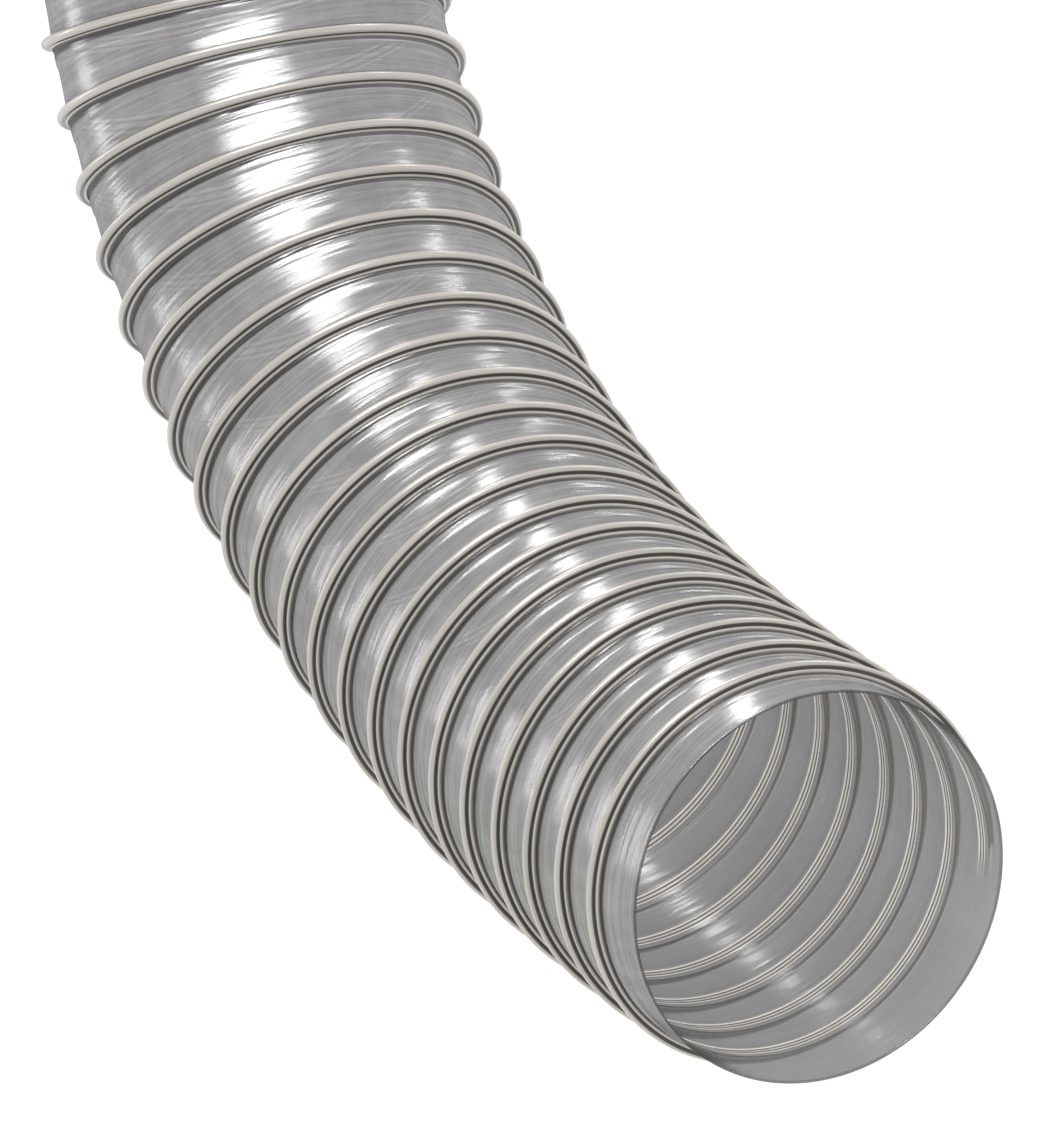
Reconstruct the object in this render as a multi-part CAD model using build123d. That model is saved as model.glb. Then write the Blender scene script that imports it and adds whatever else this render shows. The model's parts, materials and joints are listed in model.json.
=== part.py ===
from build123d import *
import os
from math import cos, radians, sin, tan

# Flexible air duct: a thin film wall, wound from one strip, with a plastic bead wound over it
# as a helix and a spring steel wire inside the bead. All lengths are millimetres, angles degrees.
# The bend lies in the XZ plane. The mouth opens towards -X and the upper end, which is the
# origin, rises towards +X and +Z. Distance along the duct is measured from the mouth.

# Section of the duct
bore_dia = 101.6          # inside diameter of the film, a 4 inch duct
film = 0.6                # thickness of the film
bead_dia = 3.1            # plastic bead that covers the wire
wire_dia = 1.2            # spring steel wire
bead_clearance = 0.05     # between the film and the bead lying on it
wire_clearance = 0.03     # between the wire and the bore of its bead

# Run of the duct
duct_length = 410.0       # along the centreline, mouth to upper end
pitch = 18.4              # of the helix
mouth_bend_rate = 0.016   # degrees of bend per millimetre at the mouth
upper_bend_rate = 0.327   # and at the upper end
helix_zero = 20.5         # distance from the mouth at which the helix passes angle 0
helix_start = -180.0      # helix angle of the wire's end near the mouth
helix_end = 7380.0        # helix angle of its end near the upper end

# Where the duct is divided. Three turns hold one bend, one sway and one stretch joint, and the
# bead is cut where it crosses the joint's axis, so that its two ends stay together.
group_turns = 3
group_angles = {"bend": 360.0, "sway": 810.0, "stretch": 1125.0}
joint_count = 19
film_gap = 0.2            # between the films of two turns
bead_gap = 1.0            # between the ends of two beads
facet = 15.0              # helix angle of one run of the bead's path
arc_share = 0.45          # share of a run that each arc takes

cut_allowance = 6.0       # extra length that a tube has before its faces are cut

bore_r = bore_dia / 2
film_r = bore_r + film
bead_r = bead_dia / 2
wire_r = wire_dia / 2
helix_r = film_r + bead_clearance + bead_r    # at its nearest to the film


def heading(distance):
    """Direction of the centreline above +X, in degrees, before the mouth is levelled."""
    gain = (upper_bend_rate - mouth_bend_rate) / duct_length
    return mouth_bend_rate * distance + gain * distance ** 2 / 2


def helix_distance(angle):
    return helix_zero + pitch * angle / 360


def division():
    """The joints in order from the mouth: (kind, helix angle, distance along the duct)."""
    found = []
    for i in range(joint_count):
        kind = list(group_angles)[i % 3]
        angle = group_angles[kind] + 360 * group_turns * (i // 3)
        found.append((kind, angle, helix_distance(angle)))
    return found


class Turn:
    """One straight length of the duct, between two flat faces that its neighbours share."""

    def __init__(self, start, end, first_angle, last_angle):
        self.start, self.end = start, end
        self.first_angle, self.last_angle = first_angle, last_angle
        self.length = end - start
        self.tilt = heading((start + end) / 2)

    def axis(self):
        return Vector(cos(radians(self.tilt)), 0, sin(radians(self.tilt)))

    def outward(self):
        """Towards the outside of the bend."""
        return Vector(sin(radians(self.tilt)), 0, -cos(radians(self.tilt)))

    def point(self, angle, radius):
        """A point on the helix of this turn, at a radius from its axis."""
        share = (helix_distance(angle) - self.start) / self.length
        side = radius * cos(radians(angle))
        out = radius * sin(radians(angle))
        end_slope = tan(radians(self.end_mitre))
        start_slope = tan(radians(self.start_mitre))
        along = self.length * share + out * (share * end_slope - (1 - share) * start_slope)
        return self.foot + self.axis() * along + Vector(0, side, 0) + self.outward() * out


def lay_out():
    """All turns, from the mouth to the upper end, placed with the upper end at the origin."""
    cuts = [(helix_start, 0.0)] + [(a, d) for _, a, d in division()] + [(helix_end, duct_length)]
    turns = [Turn(d0, d1, a0, a1) for (a0, d0), (a1, d1) in zip(cuts, cuts[1:])]
    level = turns[0].tilt
    foot = Vector(0, 0, 0)
    for turn in turns:
        turn.tilt -= level
        turn.foot = foot
        foot = foot + turn.axis() * turn.length
    turns[0].start_mitre = 0.0
    turns[-1].end_mitre = 0.0
    for below, above in zip(turns, turns[1:]):
        bend = above.tilt - below.tilt
        # The last turn goes over a spigot, so both its faces are square.
        above.start_mitre = 0.0 if above is turns[-1] else bend / 2
        below.end_mitre = bend - above.start_mitre
    for turn in turns:
        turn.foot = turn.foot - foot
    return turns


def cut_plane(turn, end):
    """The flat face at one end of a turn, with its normal out of the turn."""
    tilt = turn.tilt + turn.end_mitre if end else turn.tilt - turn.start_mitre
    way = 1 if end else -1
    normal = Vector(cos(radians(tilt)), 0, sin(radians(tilt))) * way
    centre = turn.foot + turn.axis() * (turn.length if end else 0)
    return Plane(origin=centre, z_dir=normal)


def film_solid(turn, first, last):
    """The wall: a plain tube between its two faces, shared with the neighbouring turns."""
    base = Plane(origin=turn.foot - turn.axis() * cut_allowance, z_dir=turn.axis())
    height = turn.length + 2 * cut_allowance
    on_base = (Align.CENTER, Align.CENTER, Align.MIN)
    outside = Cylinder(film_r, height, align=on_base)
    bore = Cylinder(bore_r, height, align=on_base)
    tube = base * (outside - bore)
    for end, free in ((False, first), (True, last)):
        face = cut_plane(turn, end)
        face = face.offset(0.0 if free else -film_gap / 2)
        tube = split(tube, bisect_by=face, keep=Keep.BOTTOM)
    return tube


def helix_path(turn):
    """The middle of the bead: short runs joined by tangent arcs, ending at the middle of a run."""
    corners_r = helix_r / cos(radians(facet / 2))
    runs = round((turn.last_angle - turn.first_angle) / facet)
    corners = [turn.point(turn.first_angle + facet * (i + 0.5), corners_r) for i in range(runs)]
    first = turn.point(turn.first_angle, helix_r)
    last = turn.point(turn.last_angle, helix_r)
    first = first + (corners[0] - first).normalized() * (bead_gap / 2)
    last = last + (corners[-1] - last).normalized() * (bead_gap / 2)
    points = [first] + corners + [last]
    inner = [(b - a).length for a, b in zip(corners, corners[1:])]
    shortest = [inner[0]] + [min(a, b) for a, b in zip(inner, inner[1:])] + [inner[-1]]
    radii = []
    for before, corner, after, run in zip(points, points[1:], points[2:], shortest):
        turned = radians((corner - before).get_angle(after - corner))
        radii.append(arc_share * run / tan(turned / 2))
    return FilletPolyline(*points, radius=radii)


def round_bar(path, radius):
    start = Plane(origin=path @ 0, z_dir=path % 0)
    return sweep((start * Circle(radius)).face(), path=path)


def bead_solid(path):
    return round_bar(path, bead_r) - round_bar(path, wire_r + wire_clearance)


def main():
    os.makedirs("parts", exist_ok=True)
    turns = lay_out()
    for number, turn in enumerate(turns, 1):
        path = helix_path(turn)
        pieces = {
            f"film_turn_{number:02d}": film_solid(turn, number == 1, number == len(turns)),
            f"bead_turn_{number:02d}": bead_solid(path),
            f"wire_turn_{number:02d}": round_bar(path, wire_r),
        }
        for name, piece in pieces.items():
            export_step(piece.solid(), f"parts/{name}.step")


if __name__ == "__main__":
    main()
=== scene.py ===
import json
import math

import bmesh
import bpy
import numpy as np
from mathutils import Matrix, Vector


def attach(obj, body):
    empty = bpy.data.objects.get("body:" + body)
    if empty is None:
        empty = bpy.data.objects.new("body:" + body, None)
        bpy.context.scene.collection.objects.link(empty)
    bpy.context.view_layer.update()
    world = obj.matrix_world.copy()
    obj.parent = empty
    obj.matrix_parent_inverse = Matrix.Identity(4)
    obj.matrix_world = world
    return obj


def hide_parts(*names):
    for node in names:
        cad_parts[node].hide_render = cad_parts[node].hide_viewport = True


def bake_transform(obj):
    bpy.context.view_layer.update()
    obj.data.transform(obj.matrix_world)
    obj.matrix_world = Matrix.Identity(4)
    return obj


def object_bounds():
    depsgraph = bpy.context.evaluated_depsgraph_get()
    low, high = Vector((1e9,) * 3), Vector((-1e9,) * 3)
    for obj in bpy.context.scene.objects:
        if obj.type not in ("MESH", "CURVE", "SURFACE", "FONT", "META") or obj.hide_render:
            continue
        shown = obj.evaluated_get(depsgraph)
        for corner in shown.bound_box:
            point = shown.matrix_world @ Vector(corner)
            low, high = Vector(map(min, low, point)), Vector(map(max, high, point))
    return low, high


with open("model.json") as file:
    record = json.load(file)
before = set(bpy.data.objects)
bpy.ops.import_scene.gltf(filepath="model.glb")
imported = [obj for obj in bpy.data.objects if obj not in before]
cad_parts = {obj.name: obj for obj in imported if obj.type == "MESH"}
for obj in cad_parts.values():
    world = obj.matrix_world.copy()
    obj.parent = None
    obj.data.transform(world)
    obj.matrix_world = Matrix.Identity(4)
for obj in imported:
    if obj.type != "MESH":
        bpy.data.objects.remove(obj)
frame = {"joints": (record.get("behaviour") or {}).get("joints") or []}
CAD_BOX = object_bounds()

# ---------------------------------------------------------------- driving dimensions, in metres
MM = 0.001
TURN = 2 * math.pi
DUCT_LENGTH = 410 * MM
PITCH = 18.4 * MM                       # of the helix
HELIX_ZERO = 20.5 * MM                  # from the mouth to where the helix passes angle 0
HELIX_START = math.radians(-180)        # helix angle of the bead's end near the mouth
HELIX_END = math.radians(7380)          # and near the upper end
HELIX_FADE = math.radians(12)           # over which the film goes plain past the bead's ends
MOUTH_BEND = math.radians(0.016) / MM   # bend per metre at the mouth
UPPER_BEND = math.radians(0.327) / MM   # and at the upper end
TURN_ANGLES = {"bend": 360, "sway": 810, "stretch": 1125}   # where three turns are divided
SIDE = np.array([0.0, 1.0, 0.0])        # the direction square to the plane of the bend

# The film. Places named _AT are along the duct from the rib; minus is the mouth's side.
FILM = 0.6 * MM                         # thickness
WAIST_R = 51.3 * MM                     # outside, midway between two ribs
SHOULDER_R = 51.75 * MM                 # outside, beside a rib
LAP = 0.22 * MM                         # step where the wound strip laps over itself
LAP_AT = -6.2 * MM
LAP_RISE = 0.5 * MM                     # length over which the step rises
LAP_END = 1.0 * MM                      # length over which it falls away again, past the rib
GROOVE = 0.18 * MM                      # beside the bead, on the outside
GROOVE_AT = -2.7 * MM
GROOVE_WIDTH = 0.4 * MM
RIDGE = 0.28 * MM                       # the two lines that the bead leaves on the inside
RIDGE_AT = 0.9 * MM
RIDGE_WIDTH = 0.45 * MM
LAP_LINE = 0.12 * MM                    # the lap, seen from the inside
LAP_LINE_WIDTH = 0.35 * MM

HELIX_R = 53.15 * MM                    # middle of the bead
BEAD_R = 1.32 * MM
FOOT_R = 0.40 * MM                      # rounded foot of the bead, on the mouth's side
FOOT_AT = (-1.05 * MM, -1.35 * MM)      # outwards and along the duct, from the bead's middle
WIRE_R = 0.6 * MM
WIRE_STUB = 1.2 * MM                    # wire that shows past the cut end of its bead

# Fineness of the meshes.
ROUND_STEPS = 240                       # divisions round the duct
FILM_STEP = 0.4 * MM                    # along it
WIRE_STEPS = 20                         # divisions round the wire
BEAD_STEPS = 56                         # divisions round the bead and its foot
HELIX_STEP = TURN / 180                 # along both

# Looks.
FILM_GREY = (0.304, 0.302, 0.304)
FILM_CLEAR = 0.42                       # share of light straight through each face of the film
FILM_PAINTED_GLOW = 0.06                        # painted glow over the whole film
BEAD_PAINTED_GLOW = 0.72                        # painted glow on the inside face where the bead lies behind it, for the lit bead seen through
BEAD_COLOUR = (0.56, 0.53, 0.485)
SKY = 1.12                              # strength of the white surroundings
FLOOR_HALF = 6.0
FLOOR_DROP = 0.35                       # from the duct down to the floor

CAMERA_AZIMUTH = 154.48                 # degrees, from the duct to the camera
CAMERA_ELEVATION = 18.676
CAMERA_DISTANCE = 3.955                 # from the middle of the mouth
CAMERA_SENSOR = 36                      # mm
CAMERA_LENS = 547.51                    # mm
MOUTH_TO_THE_RIGHT = 0.07388            # of the line of sight
MOUTH_BELOW = 0.08088


# ---------------------------------------------------------------- the shape of the duct
def turn_cuts():
    """Distances from the mouth of the faces that divide the duct into the CAD model's turns."""
    kinds = list(TURN_ANGLES)
    cuts = [0.0]
    for i in range(len(frame["joints"])):
        angle = TURN_ANGLES[kinds[i % 3]] + 3 * 360 * (i // 3)
        cuts.append(HELIX_ZERO + PITCH * angle / 360)
    return cuts + [DUCT_LENGTH]


CUTS = turn_cuts()
MIDS = [(a + b) / 2 for a, b in zip(CUTS, CUTS[1:])]
BODIES = [f"turn_{i + 1:02d}" for i in range(len(MIDS))]


def heading(s):
    """Direction of the centreline. The last stretch, which goes over a spigot, is straight."""
    s = np.minimum(s, MIDS[-1])
    gain = (UPPER_BEND - MOUTH_BEND) / DUCT_LENGTH
    return MOUTH_BEND * s + gain * s ** 2 / 2


LEVEL = heading(MIDS[0])   # the mouth's own turn lies level

PATH_S = np.linspace(-0.02, DUCT_LENGTH + 0.02, 4001)   # the centreline, and a little past it


def path(slope):
    """One coordinate of the centreline, from its slope. The upper end of the duct is at 0."""
    steps = (slope[1:] + slope[:-1]) / 2 * (PATH_S[1] - PATH_S[0])
    reached = np.concatenate([[0], np.cumsum(steps)])
    return reached - np.interp(DUCT_LENGTH, PATH_S, reached)


PATH_X = path(np.cos(heading(PATH_S) - LEVEL))
PATH_Z = path(np.sin(heading(PATH_S) - LEVEL))


def centre(s):
    x, z = np.interp(s, PATH_S, PATH_X), np.interp(s, PATH_S, PATH_Z)
    return np.stack([x, np.zeros_like(s), z], -1)


def axis(s):
    h = heading(s) - LEVEL
    return np.stack([np.cos(h), np.zeros_like(h), np.sin(h)], -1)


def outward(s):
    """Direction from the centreline to the outer side of the bend."""
    h = heading(s) - LEVEL
    return np.stack([np.sin(h), np.zeros_like(h), -np.cos(h)], -1)


def radial(s, angle):
    return np.cos(angle)[..., None] * SIDE + np.sin(angle)[..., None] * outward(s)


def duct_point(s, angle, radius):
    return centre(s) + radius[..., None] * radial(s, angle)


def helix_turns(s, angle):
    """How many turns of the helix lie between its zero and this place: whole on a rib."""
    return (s - HELIX_ZERO) / PITCH - angle / TURN


def from_rib(s, angle):
    """Distance along the duct from the nearest rib, and where on the helix that rib is."""
    turns = helix_turns(s, angle)
    nearest = np.round(turns)
    off = (turns - nearest) * PITCH
    helix = angle + nearest * TURN
    return off, helix


def smooth(t):
    t = np.clip(t, 0, 1)
    return t * t * (3 - 2 * t)


def line(off, at, width):
    return np.exp(-((off - at) / width) ** 2)


def rib_strength(helix):
    """1 along the helix, fading to 0 just past its two cut ends."""
    low = (helix - HELIX_START) / HELIX_FADE + 1
    high = (HELIX_END - helix) / HELIX_FADE + 1
    return smooth(np.minimum(low, high))


def stand_out(off, strength):
    """How far the film stands out from its waist: most beside a rib."""
    across = np.abs(off) / (PITCH / 2)
    return (SHOULDER_R - WAIST_R) * (1 - across) ** 2 * strength


def film_outside(s, angle):
    off, helix = from_rib(s, angle)
    strength = rib_strength(helix)
    r = WAIST_R + stand_out(off, strength)
    lap = smooth((off - LAP_AT) / LAP_RISE) * smooth((LAP_END - off) / LAP_END)
    r = r + LAP * lap * strength
    return r - GROOVE * line(off, GROOVE_AT, GROOVE_WIDTH) * strength


def film_inside(s, angle):
    off, helix = from_rib(s, angle)
    strength = rib_strength(helix)
    r = WAIST_R - FILM + stand_out(off, strength)
    ridge = line(off, -RIDGE_AT, RIDGE_WIDTH) + line(off, RIDGE_AT, RIDGE_WIDTH)
    return r - RIDGE * ridge * strength - LAP_LINE * line(off, LAP_AT, LAP_LINE_WIDTH) * strength


# ---------------------------------------------------------------- mesh making
def add_object(name, data):
    obj = bpy.data.objects.new(name, data)
    bpy.context.scene.collection.objects.link(obj)
    return obj


def mesh_object(name, verts, faces):
    mesh = bpy.data.meshes.new(name)
    mesh.from_pydata(verts.tolist(), [], faces)
    mesh.update()
    mesh.polygons.foreach_set("use_smooth", [True] * len(mesh.polygons))
    return add_object(name, mesh)


def store(obj, name, values, domain="POINT"):
    attribute = obj.data.attributes.new(name, "FLOAT_VECTOR", domain)
    attribute.data.foreach_set("vector", np.asarray(values, np.float32).ravel())


def grid_quads(rows, columns, offset=0, flip=False):
    """Quads between closed rows, and each corner's row and column, counted before a row closes."""
    i, j = np.meshgrid(np.arange(rows - 1), np.arange(columns), indexing="ij")
    corner_rows = np.stack([i, i, i + 1, i + 1], -1).reshape(-1, 4)
    corner_columns = np.stack([j, j + 1, j + 1, j], -1).reshape(-1, 4)
    if flip:
        corner_rows, corner_columns = corner_rows[:, ::-1], corner_columns[:, ::-1]
    quads = offset + corner_rows * columns + corner_columns % columns
    return quads, corner_rows, corner_columns


def rim_quads(row, inner):
    """Quads across the film's thickness. inner is the number of the inside face's first vertex."""
    j = np.arange(ROUND_STEPS)
    k = (j + 1) % ROUND_STEPS
    base = row * ROUND_STEPS
    rim = np.stack([base + j, base + k, inner + base + k, inner + base + j], -1)
    return rim if row == 0 else rim[:, ::-1]


def straight(s, angle, radius):
    """The place that a point would have on a straight duct, in mm: what the textures run on."""
    return np.stack([s, radius * np.cos(angle), radius * np.sin(angle)], -1) / MM


def film_piece(name, start, end, first, last):
    """A length of the film wall with both its faces, and a rim where the duct ends."""
    count = max(2, round((end - start) / FILM_STEP))
    s = np.linspace(start, end, count + 1)
    angles = np.arange(ROUND_STEPS) * TURN / ROUND_STEPS
    ss, aa = np.meshgrid(s, angles, indexing="ij")
    radii = film_outside(ss, aa), film_inside(ss, aa)
    verts = np.concatenate([duct_point(ss, aa, r).reshape(-1, 3) for r in radii])
    inner = len(verts) // 2
    faces, wound = [], []
    for inside in (0, 1):
        quads, rows, columns = grid_quads(len(s), ROUND_STEPS, inner * inside, flip=not inside)
        faces.append(quads)
        corner_s, corner_a = s[rows], columns * TURN / ROUND_STEPS
        turns = helix_turns(corner_s, corner_a)
        strength = rib_strength(from_rib(corner_s, corner_a)[1])
        wound.append(np.stack([turns, strength, np.full_like(turns, inside)], -1).reshape(-1, 3))
    for free, row in ((first, 0), (last, count)):
        if free:
            faces.append(rim_quads(row, inner))
            wound.append(np.tile([0.5, 0.0, 0.5], (4 * ROUND_STEPS, 1)))
    obj = mesh_object(name, verts, np.concatenate(faces).tolist())
    store(obj, "wound", np.concatenate(wound), "CORNER")
    store(obj, "straight", np.concatenate([straight(ss, aa, r).reshape(-1, 3) for r in radii]))
    return obj


def wire_section():
    t = np.arange(WIRE_STEPS) * TURN / WIRE_STEPS
    return WIRE_R * np.cos(t), WIRE_R * np.sin(t)


def bead_section():
    """The bead's outline, outwards and along the duct: round, with a low foot."""
    t = np.arange(BEAD_STEPS) * TURN / BEAD_STEPS
    reach = np.full_like(t, BEAD_R)
    far, way = np.hypot(*FOOT_AT), np.arctan2(FOOT_AT[1], FOOT_AT[0])
    off = (t - way + np.pi) % TURN - np.pi
    inside = np.clip(FOOT_R ** 2 - (far * np.sin(off)) ** 2, 0, None)
    foot = far * np.cos(off) + np.sqrt(inside)
    on_foot = (np.abs(off) < np.arcsin(FOOT_R / far)) & (inside > 0)
    reach = np.where(on_foot, np.maximum(foot, reach), reach)
    return reach * np.cos(t), reach * np.sin(t)


def helix_point(rows, nudge=0.0):
    """Points on the bead's middle line, at angles along the helix."""
    rows = rows + nudge
    s = HELIX_ZERO + PITCH * rows / TURN
    return duct_point(s, rows, np.full_like(s, HELIX_R))


def unit(vectors):
    return vectors / np.linalg.norm(vectors, axis=1)[:, None]


def helix_frame(rows):
    """The bead's middle line, and its directions away from the duct and along the duct."""
    s = HELIX_ZERO + PITCH * rows / TURN
    up = radial(s, rows)
    nudge = 0.001
    tangent = unit(helix_point(rows, nudge) - helix_point(rows, -nudge))
    side = unit(np.cross(up, tangent))
    side *= np.sign((side * axis(s)).sum(1))[:, None]
    return helix_point(rows), up, side


def face_outwards(obj, middle, closed):
    """Turns all faces outwards. The two end faces are flat, and the rest is smooth."""
    bm = bmesh.new()
    bm.from_mesh(obj.data)
    bmesh.ops.recalc_face_normals(bm, faces=bm.faces)
    if not closed:
        face = bm.faces[0]
        if face.normal.dot(face.calc_center_median() - middle) < 0:
            bmesh.ops.reverse_faces(bm, faces=bm.faces)
    for face in bm.faces:
        face.smooth = len(face.verts) == 4
    bm.to_mesh(obj.data)
    bm.free()


def helix_tube(name, start, end, section, first, last, stub=0.0):
    """A bar that follows the helix between two distances along the duct."""
    out, along = section
    low = HELIX_START - stub / HELIX_R if first else (start - HELIX_ZERO) / PITCH * TURN
    high = HELIX_END + stub / HELIX_R if last else (end - HELIX_ZERO) / PITCH * TURN
    count = max(8, round((high - low) / HELIX_STEP))
    rows = np.linspace(low, high, count + 1)
    middle, up, side = helix_frame(rows)
    outwards, sideways = out[None, :, None] * up[:, None], along[None, :, None] * side[:, None]
    verts = middle[:, None] + outwards + sideways
    columns = len(out)
    faces = grid_quads(len(rows), columns)[0].tolist()
    if first:
        faces.append(list(range(columns))[::-1])
    if last:
        faces.append([count * columns + i for i in range(columns)])
    obj = mesh_object(name, verts.reshape(-1, 3), faces)
    face_outwards(obj, Vector(middle[0]), first or last)
    run = np.repeat(rows * HELIX_R, columns)
    place = np.stack([np.tile(out, len(rows)), np.tile(along, len(rows)), run], -1)
    store(obj, "section", place / MM)
    return obj


# ---------------------------------------------------------------- materials
class Graph:
    """Short ways to add shader nodes to one material."""

    def __init__(self, name):
        self.material = bpy.data.materials.new(name)
        self.material.use_nodes = True
        self.tree = self.material.node_tree
        self.tree.nodes.clear()
        self.output = self.node("ShaderNodeOutputMaterial")

    def node(self, kind, **settings):
        found = self.tree.nodes.new(kind)
        for key, value in settings.items():
            setattr(found, key, value)
        return found

    def put(self, socket, value):
        if isinstance(value, bpy.types.NodeSocket):
            self.tree.links.new(value, socket)
        else:
            socket.default_value = value

    def math(self, operation, *values):
        found = self.node("ShaderNodeMath", operation=operation)
        for socket, value in zip(found.inputs, values):
            self.put(socket, value)
        return found.outputs[0]

    def clamp(self, value, low, high, to_low=0.0, to_high=1.0):
        """A smooth step from to_low, below low, to to_high, above high."""
        found = self.node("ShaderNodeMapRange", interpolation_type="SMOOTHSTEP")
        for socket, v in zip(found.inputs, (value, low, high, to_low, to_high)):
            self.put(socket, v)
        return found.outputs[0]

    def attribute(self, name):
        """A stored attribute, whole and as its three parts."""
        found = self.node("ShaderNodeAttribute", attribute_name=name)
        parts = self.node("ShaderNodeSeparateXYZ")
        self.put(parts.inputs[0], found.outputs["Vector"])
        return found.outputs["Vector"], list(parts.outputs)

    def facing(self):
        """0 where a face is seen square on, 1 where it is seen edge on."""
        found = self.node("ShaderNodeLayerWeight")
        found.inputs["Blend"].default_value = 0.5
        return found.outputs["Facing"]

    def scale(self, vector, factor):
        found = self.node("ShaderNodeVectorMath", operation="SCALE")
        self.put(found.inputs[0], vector)
        self.put(found.inputs["Scale"], factor)
        return found.outputs[0]

    def noise(self, vector, stretch, detail, roughness):
        """Noise with its own number of waves per mm in each direction."""
        scaled = self.node("ShaderNodeVectorMath", operation="MULTIPLY")
        self.put(scaled.inputs[0], vector)
        scaled.inputs[1].default_value = stretch
        found = self.node("ShaderNodeTexNoise")
        self.put(found.inputs["Vector"], scaled.outputs[0])
        found.inputs["Scale"].default_value = 1.0
        found.inputs["Detail"].default_value = detail
        found.inputs["Roughness"].default_value = roughness
        return found.outputs[0]

    def ramp(self, value, stops):
        """A curve through (value, level) stops. A level is a grey or a colour, within 0..1."""
        low, high = stops[0][0], stops[-1][0]
        found = self.node("ShaderNodeValToRGB")
        elements = found.color_ramp.elements
        while len(elements) < len(stops):
            elements.new(1.0)
        for element, (at, level) in zip(elements, stops):
            element.position = (at - low) / (high - low)
            colour = level if isinstance(level, tuple) else (level,) * 3
            element.color = (*colour, 1)
        place = self.math("DIVIDE", self.math("SUBTRACT", value, low), high - low)
        self.put(found.inputs[0], place)
        return found.outputs[0]

    def mix(self, factor, a, b, blend="MIX"):
        found = self.node("ShaderNodeMix", data_type="RGBA", blend_type=blend)
        self.put(found.inputs[0], factor)
        self.put(found.inputs[6], a)
        self.put(found.inputs[7], b)
        return found.outputs[2]

    def bump(self, height, strength, distance):
        found = self.node("ShaderNodeBump")
        self.put(found.inputs["Height"], height)
        found.inputs["Strength"].default_value = strength
        found.inputs["Distance"].default_value = distance
        return found.outputs[0]

    def shader(self, kind, **values):
        """A shader node, with each input named in lower case and underscores."""
        found = self.node(kind)
        for key, value in values.items():
            socket = next(s for s in found.inputs if s.name.lower().replace(" ", "_") == key)
            self.put(socket, value)
        return found.outputs[0]

    def mix_shaders(self, factor, a, b):
        found = self.node("ShaderNodeMixShader")
        for socket, value in zip(found.inputs, (factor, a, b)):
            self.put(socket, value)
        return found.outputs[0]

    def finish(self, shader):
        self.put(self.output.inputs["Surface"], shader)
        return self.material


def film_painted_lines(g, off, strength, inside, y):
    """Painted highlights and painted shade across one pitch of the film, where 0.5 is its plain
    grey.

    Stops are in mm from the rib; minus is the mouth's side.
    """
    # Outside: painted highlights on the lap's step and just past it, painted shade beside the bead
    # on the mouth's side and under its upper side.
    outer = g.ramp(off, [(-9.2, 0.5), (-6.5, 0.5), (-6.2, 0.66), (-5.9, 0.49), (-4.1, 0.5),
                         (-3.75, 0.85), (-3.4, 0.42), (-2.9, 0.26), (-2.2, 0.14), (-1.9, 0.24),
                         (1.0, 0.24), (1.45, 0.18), (1.9, 0.46), (5.0, 0.55), (9.2, 0.5)])
    # Inside: the bead behind the film painted as lit and warm lines, painted shade between and
    # beside them, a painted highlight on the lap.
    lit, warm = (0.95, 0.92, 0.87), (0.80, 0.76, 0.69)
    inner = g.ramp(off, [(-9.2, 0.5), (-6.5, 0.5), (-6.2, 0.72), (-5.9, 0.47), (-4.3, 0.5),
                         (-3.9, 0.36), (-2.4, 0.30), (-2.1, lit), (-1.75, warm), (-1.5, 0.12),
                         (-1.3, 0.14), (-1.0, warm), (0.0, warm), (0.22, 0.14), (0.42, 0.14),
                         (0.7, lit), (1.15, lit), (1.5, 0.10), (1.9, 0.42), (9.2, 0.5)])
    plain = (0.5, 0.5, 0.5, 1)
    # Painted shadow beside the bead on the mouth's side, darkest towards one side of the duct.
    left = g.clamp(y, -20.0, 45.0, 0.0, 0.75)
    shadow = g.ramp(off, [(-9.2, 0.0), (-4.1, 0.0), (-3.7, 1.0), (-2.1, 1.0), (-1.9, 0.0),
                          (9.2, 0.0)])
    outer = g.mix(g.math("MULTIPLY", left, shadow), outer, (0.04, 0.04, 0.04, 1))
    return g.mix(strength, plain, g.mix(inside, outer, inner))


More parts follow.
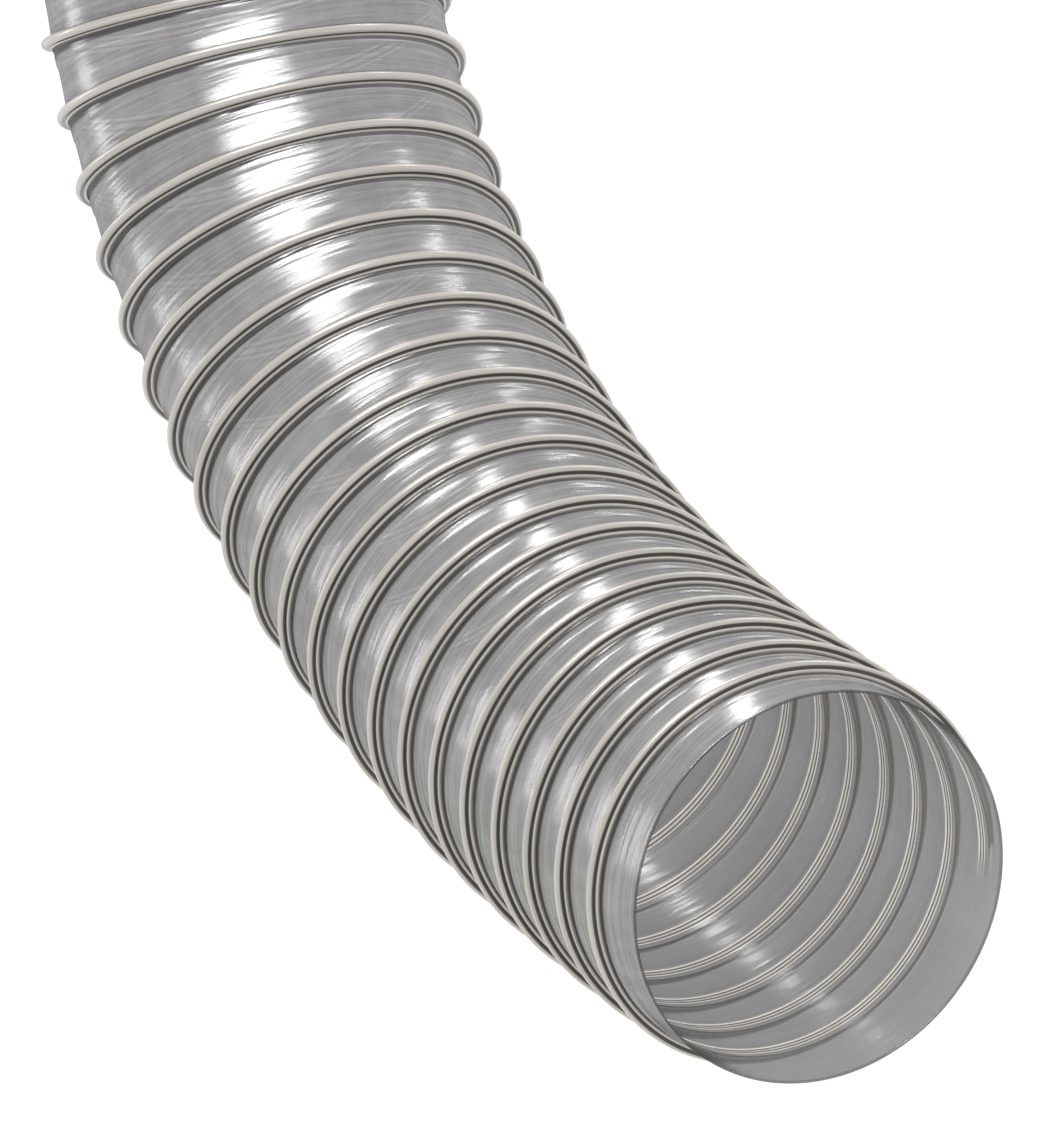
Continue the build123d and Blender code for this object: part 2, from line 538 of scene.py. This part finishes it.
def film_material():
    g = Graph("smoke_film")
    _, (turns, strength, inside) = g.attribute("wound")
    place, (s, y, _) = g.attribute("straight")
    phase = g.math("SUBTRACT", g.math("FRACT", g.math("ADD", turns, 0.5)), 0.5)
    off = g.math("MULTIPLY", phase, PITCH / MM)
    calm = g.clamp(inside, 0.0, 1.0, 1.0, 0.25)
    facing = g.facing()
    # Painted dark outline where the film is seen edge on.
    edge = g.clamp(facing, 0.80, 1.0, 1.0, 0.30)

    # Colour: painted lines, painted shade at both cuts, streaks round and along the duct (uneven
    # tone and painted sheen), and grain.
    painted_lines = film_painted_lines(g, off, strength, inside, y)
    length = DUCT_LENGTH / MM
    cut = g.math("MINIMUM", g.clamp(s, 0.1, 0.9, 0.12, 1.0),
                 g.clamp(s, length - 0.9, length - 0.1, 1.0, 0.12))
    rings = g.noise(place, (0.9, 0.03, 0.03), 3.0, 0.55)
    runs = g.noise(place, (0.03, 0.16, 0.16), 3.0, 0.55)
    cloud = g.noise(place, (0.05, 0.05, 0.05), 2.0, 0.5)
    softer = g.math("ADD", g.math("MULTIPLY", runs, 0.25), g.math("MULTIPLY", cloud, 0.20))
    streak_and_sheen = g.math("ADD", g.math("MULTIPLY", rings, 0.55), softer)
    grain = g.noise(place, (2.4, 2.4, 2.4), 1.0, 0.5)
    uneven = g.math("ADD", g.math("MULTIPLY", g.clamp(streak_and_sheen, 0.36, 0.64, -0.22, 0.26), calm),
                    g.clamp(grain, 0.3, 0.7, -0.06, 0.06))
    shade = g.scale(painted_lines, g.math("MULTIPLY", cut, g.math("ADD", uneven, 1.0)))
    grey = (*(2 * level for level in FILM_GREY), 1)
    colour = g.scale(g.mix(1.0, shade, grey, "MULTIPLY"), edge)

    # Relief: fine rings and slack.
    slack = g.noise(place, (0.20, 0.022, 0.022), 2.0, 0.5)
    ripple = g.math("ADD", g.math("MULTIPLY", rings, g.math("MULTIPLY", calm, 0.22)), slack)
    normal = g.bump(ripple, 1.0, 0.6 * MM)

    # The wall: a grey body that lets light through, more opaque where the bead lies behind it,
    # with a painted glow, faint all over and strong on the inside face over each bead.
    over = g.math("MULTIPLY", g.clamp(off, -4.6, -4.0, 0.0, 1.0), g.clamp(off, 1.9, 2.4, 1.0, 0.0))
    on_bead = g.math("MULTIPLY", g.math("MULTIPLY", inside, strength), over)
    painted_glow = g.math("ADD", g.math("MULTIPLY", on_bead, BEAD_PAINTED_GLOW), FILM_PAINTED_GLOW)
    body = g.shader("ShaderNodeBsdfPrincipled", base_color=colour, normal=normal, roughness=0.5,
                    specular_ior_level=0.0, emission_color=colour, emission_strength=painted_glow)
    clear = g.shader("ShaderNodeBsdfTransparent",
                     color=g.scale(painted_lines, g.math("MULTIPLY", edge, 1.9)))
    wall = g.mix_shaders(g.math("MAXIMUM", on_bead, 1 - FILM_CLEAR), clear, body)

    # The gloss: stronger at a grazing view, and on the outside.
    gloss = g.shader("ShaderNodeBsdfAnisotropic", normal=normal, roughness=0.20)
    grazing = g.math("MULTIPLY", g.math("POWER", facing, 4.0), 0.20)
    share = g.math("ADD", grazing, g.clamp(inside, 0.0, 1.0, 0.055, 0.028))
    return g.finish(g.mix_shaders(share, wall, gloss))


def bead_material():
    g = Graph("bead_plastic")
    place, (_, along, _) = g.attribute("section")
    # Painted highlight on the foot, painted shade in the crease before the foot and along the
    # bead's upper side.
    across = g.ramp(along, [(-1.8, 0.7), (-1.6, 1.0), (-1.42, 0.9), (-1.33, 0.12), (-1.27, 0.12),
                            (-1.18, 0.80), (-0.5, 0.92), (0.5, 0.9), (0.75, 0.85), (1.0, 0.12),
                            (1.35, 0.06)])
    grain = g.noise(place, (1.6, 1.6, 0.02), 3.0, 0.6)
    shade = g.scale(across, g.clamp(grain, 0.3, 0.7, 0.86, 1.12))
    colour = g.mix(1.0, shade, (*BEAD_COLOUR, 1), "MULTIPLY")
    # Painted dark outline where the bead is seen edge on.
    edge = g.clamp(g.facing(), 0.78, 0.98, 1.0, 0.12)
    body = g.shader("ShaderNodeBsdfPrincipled", base_color=g.scale(colour, edge),
                    normal=g.bump(grain, 0.25, 0.2 * MM), roughness=0.25,
                    specular_ior_level=0.3, coat_weight=0.12, coat_roughness=0.10)
    return g.finish(body)


def wire_material():
    g = Graph("spring_steel")
    place, _ = g.attribute("section")
    drawn = g.noise(place, (14.0, 14.0, 0.05), 2.0, 0.5)
    colour = g.ramp(drawn, [(0.2, 0.40), (0.8, 0.66)])
    body = g.shader("ShaderNodeBsdfPrincipled", base_color=colour, metallic=1.0, roughness=0.28,
                    normal=g.bump(drawn, 0.3, 0.03 * MM))
    return g.finish(body)


def floor_material():
    g = Graph("pale_floor")
    body = g.shader("ShaderNodeBsdfPrincipled", base_color=(0.93, 0.93, 0.93, 1), roughness=0.9)
    return g.finish(body)


# ---------------------------------------------------------------- build the duct
def hold(obj, index):
    """Rides the piece on one body, or bakes a piece that spans a joint into place, on no body."""
    if index == 0:
        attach(obj, BODIES[0])
    elif index == len(MIDS):
        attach(obj, BODIES[-1])
    else:
        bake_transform(obj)


def build_duct():
    """The duct, in lengths that each run from the middle of one turn to the middle of the next."""
    materials = {"film": film_material(), "bead": bead_material(), "wire": wire_material()}
    bead, wire = bead_section(), wire_section()
    edges = [0.0] + MIDS + [DUCT_LENGTH]
    for index, (start, end) in enumerate(zip(edges, edges[1:])):
        first, last = index == 0, index == len(MIDS)
        number = f"{index + 1:02d}"
        pieces = {
            "film": film_piece(f"film_length_{number}", start, end, first, last),
            "bead": helix_tube(f"bead_length_{number}", start, end, bead, first, last),
            "wire": helix_tube(f"wire_length_{number}", start, end, wire, first, last, WIRE_STUB),
        }
        for kind, piece in pieces.items():
            piece.data.materials.append(materials[kind])
            hold(piece, index)
            node = f"{kind}_turn_{min(index + 1, len(MIDS)):02d}"
            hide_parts(node)


build_duct()


# ---------------------------------------------------------------- floor, camera and light
def build_floor():
    """A pale studio floor, well below the duct."""
    half, low = FLOOR_HALF, CAD_BOX[0][2] - FLOOR_DROP
    corners = [(-half, -half, low), (half, -half, low), (half, half, low), (-half, half, low)]
    obj = mesh_object("floor", np.array(corners), [(0, 1, 2, 3)])
    obj.data.materials.append(floor_material())


def build_camera():
    """A long lens, as the photograph's almost parallel edges ask for."""
    camera = bpy.data.cameras.new("camera")
    camera.sensor_width = CAMERA_SENSOR
    camera.sensor_fit = "HORIZONTAL"
    camera.lens = CAMERA_LENS
    camera.clip_end = 50
    azimuth, elevation = math.radians(CAMERA_AZIMUTH), math.radians(CAMERA_ELEVATION)
    flat = math.cos(elevation)
    view = -Vector((flat * math.cos(azimuth), flat * math.sin(azimuth), math.sin(elevation)))
    right = view.cross(Vector((0, 0, 1))).normalized()
    up = right.cross(view)
    mouth = Vector(centre(np.array(0.0)))
    obj = add_object("camera", camera)
    obj.location = mouth - view * CAMERA_DISTANCE - right * MOUTH_TO_THE_RIGHT + up * MOUTH_BELOW
    obj.rotation_euler = view.to_track_quat("-Z", "Y").to_euler()
    bpy.context.scene.camera = obj


def soft_box(name, way, distance, size, radiance):
    """A rectangular studio light that faces the duct.

    way is the direction from the duct's middle, distance and size are in metres, and radiance
    is in watts per square metre and steradian. The film and bead show it as a highlight only.
    """
    middle = (CAD_BOX[0] + CAD_BOX[1]) / 2
    way = Vector(way).normalized()
    light = bpy.data.lights.new(name, "AREA")
    light.shape = "RECTANGLE"
    light.size, light.size_y = size
    light.energy = radiance * size[0] * size[1] * math.pi
    obj = add_object(name, light)
    obj.location = middle + way * distance
    obj.rotation_euler = (-way).to_track_quat("-Z", "Y").to_euler()
    obj.visible_diffuse = False


def build_light():
    world = bpy.data.worlds.new("studio")
    bpy.context.scene.world = world
    world.use_nodes = True
    sky = world.node_tree.nodes["Background"]
    sky.inputs["Color"].default_value = (1, 1, 1, 1)
    sky.inputs["Strength"].default_value = SKY
    soft_box("over_the_bend", (-0.30, 0.45, 0.85), 1.6, (1.25, 0.85), 26)
    soft_box("over_the_elbow", (0.27, 0.38, 0.88), 1.6, (0.35, 0.55), 20)
    soft_box("behind_the_mouth", (0.71, -0.07, 0.70), 1.7, (0.20, 1.1), 26)
    soft_box("far_side", (0.28, -0.59, 0.75), 1.8, (0.9, 0.12), 26)
    soft_box("near_side", (0.84, 0.55, -0.03), 1.2, (0.25, 0.4), 8)
    bpy.context.scene.view_settings.view_transform = "Standard"


build_floor()
build_camera()
build_light()
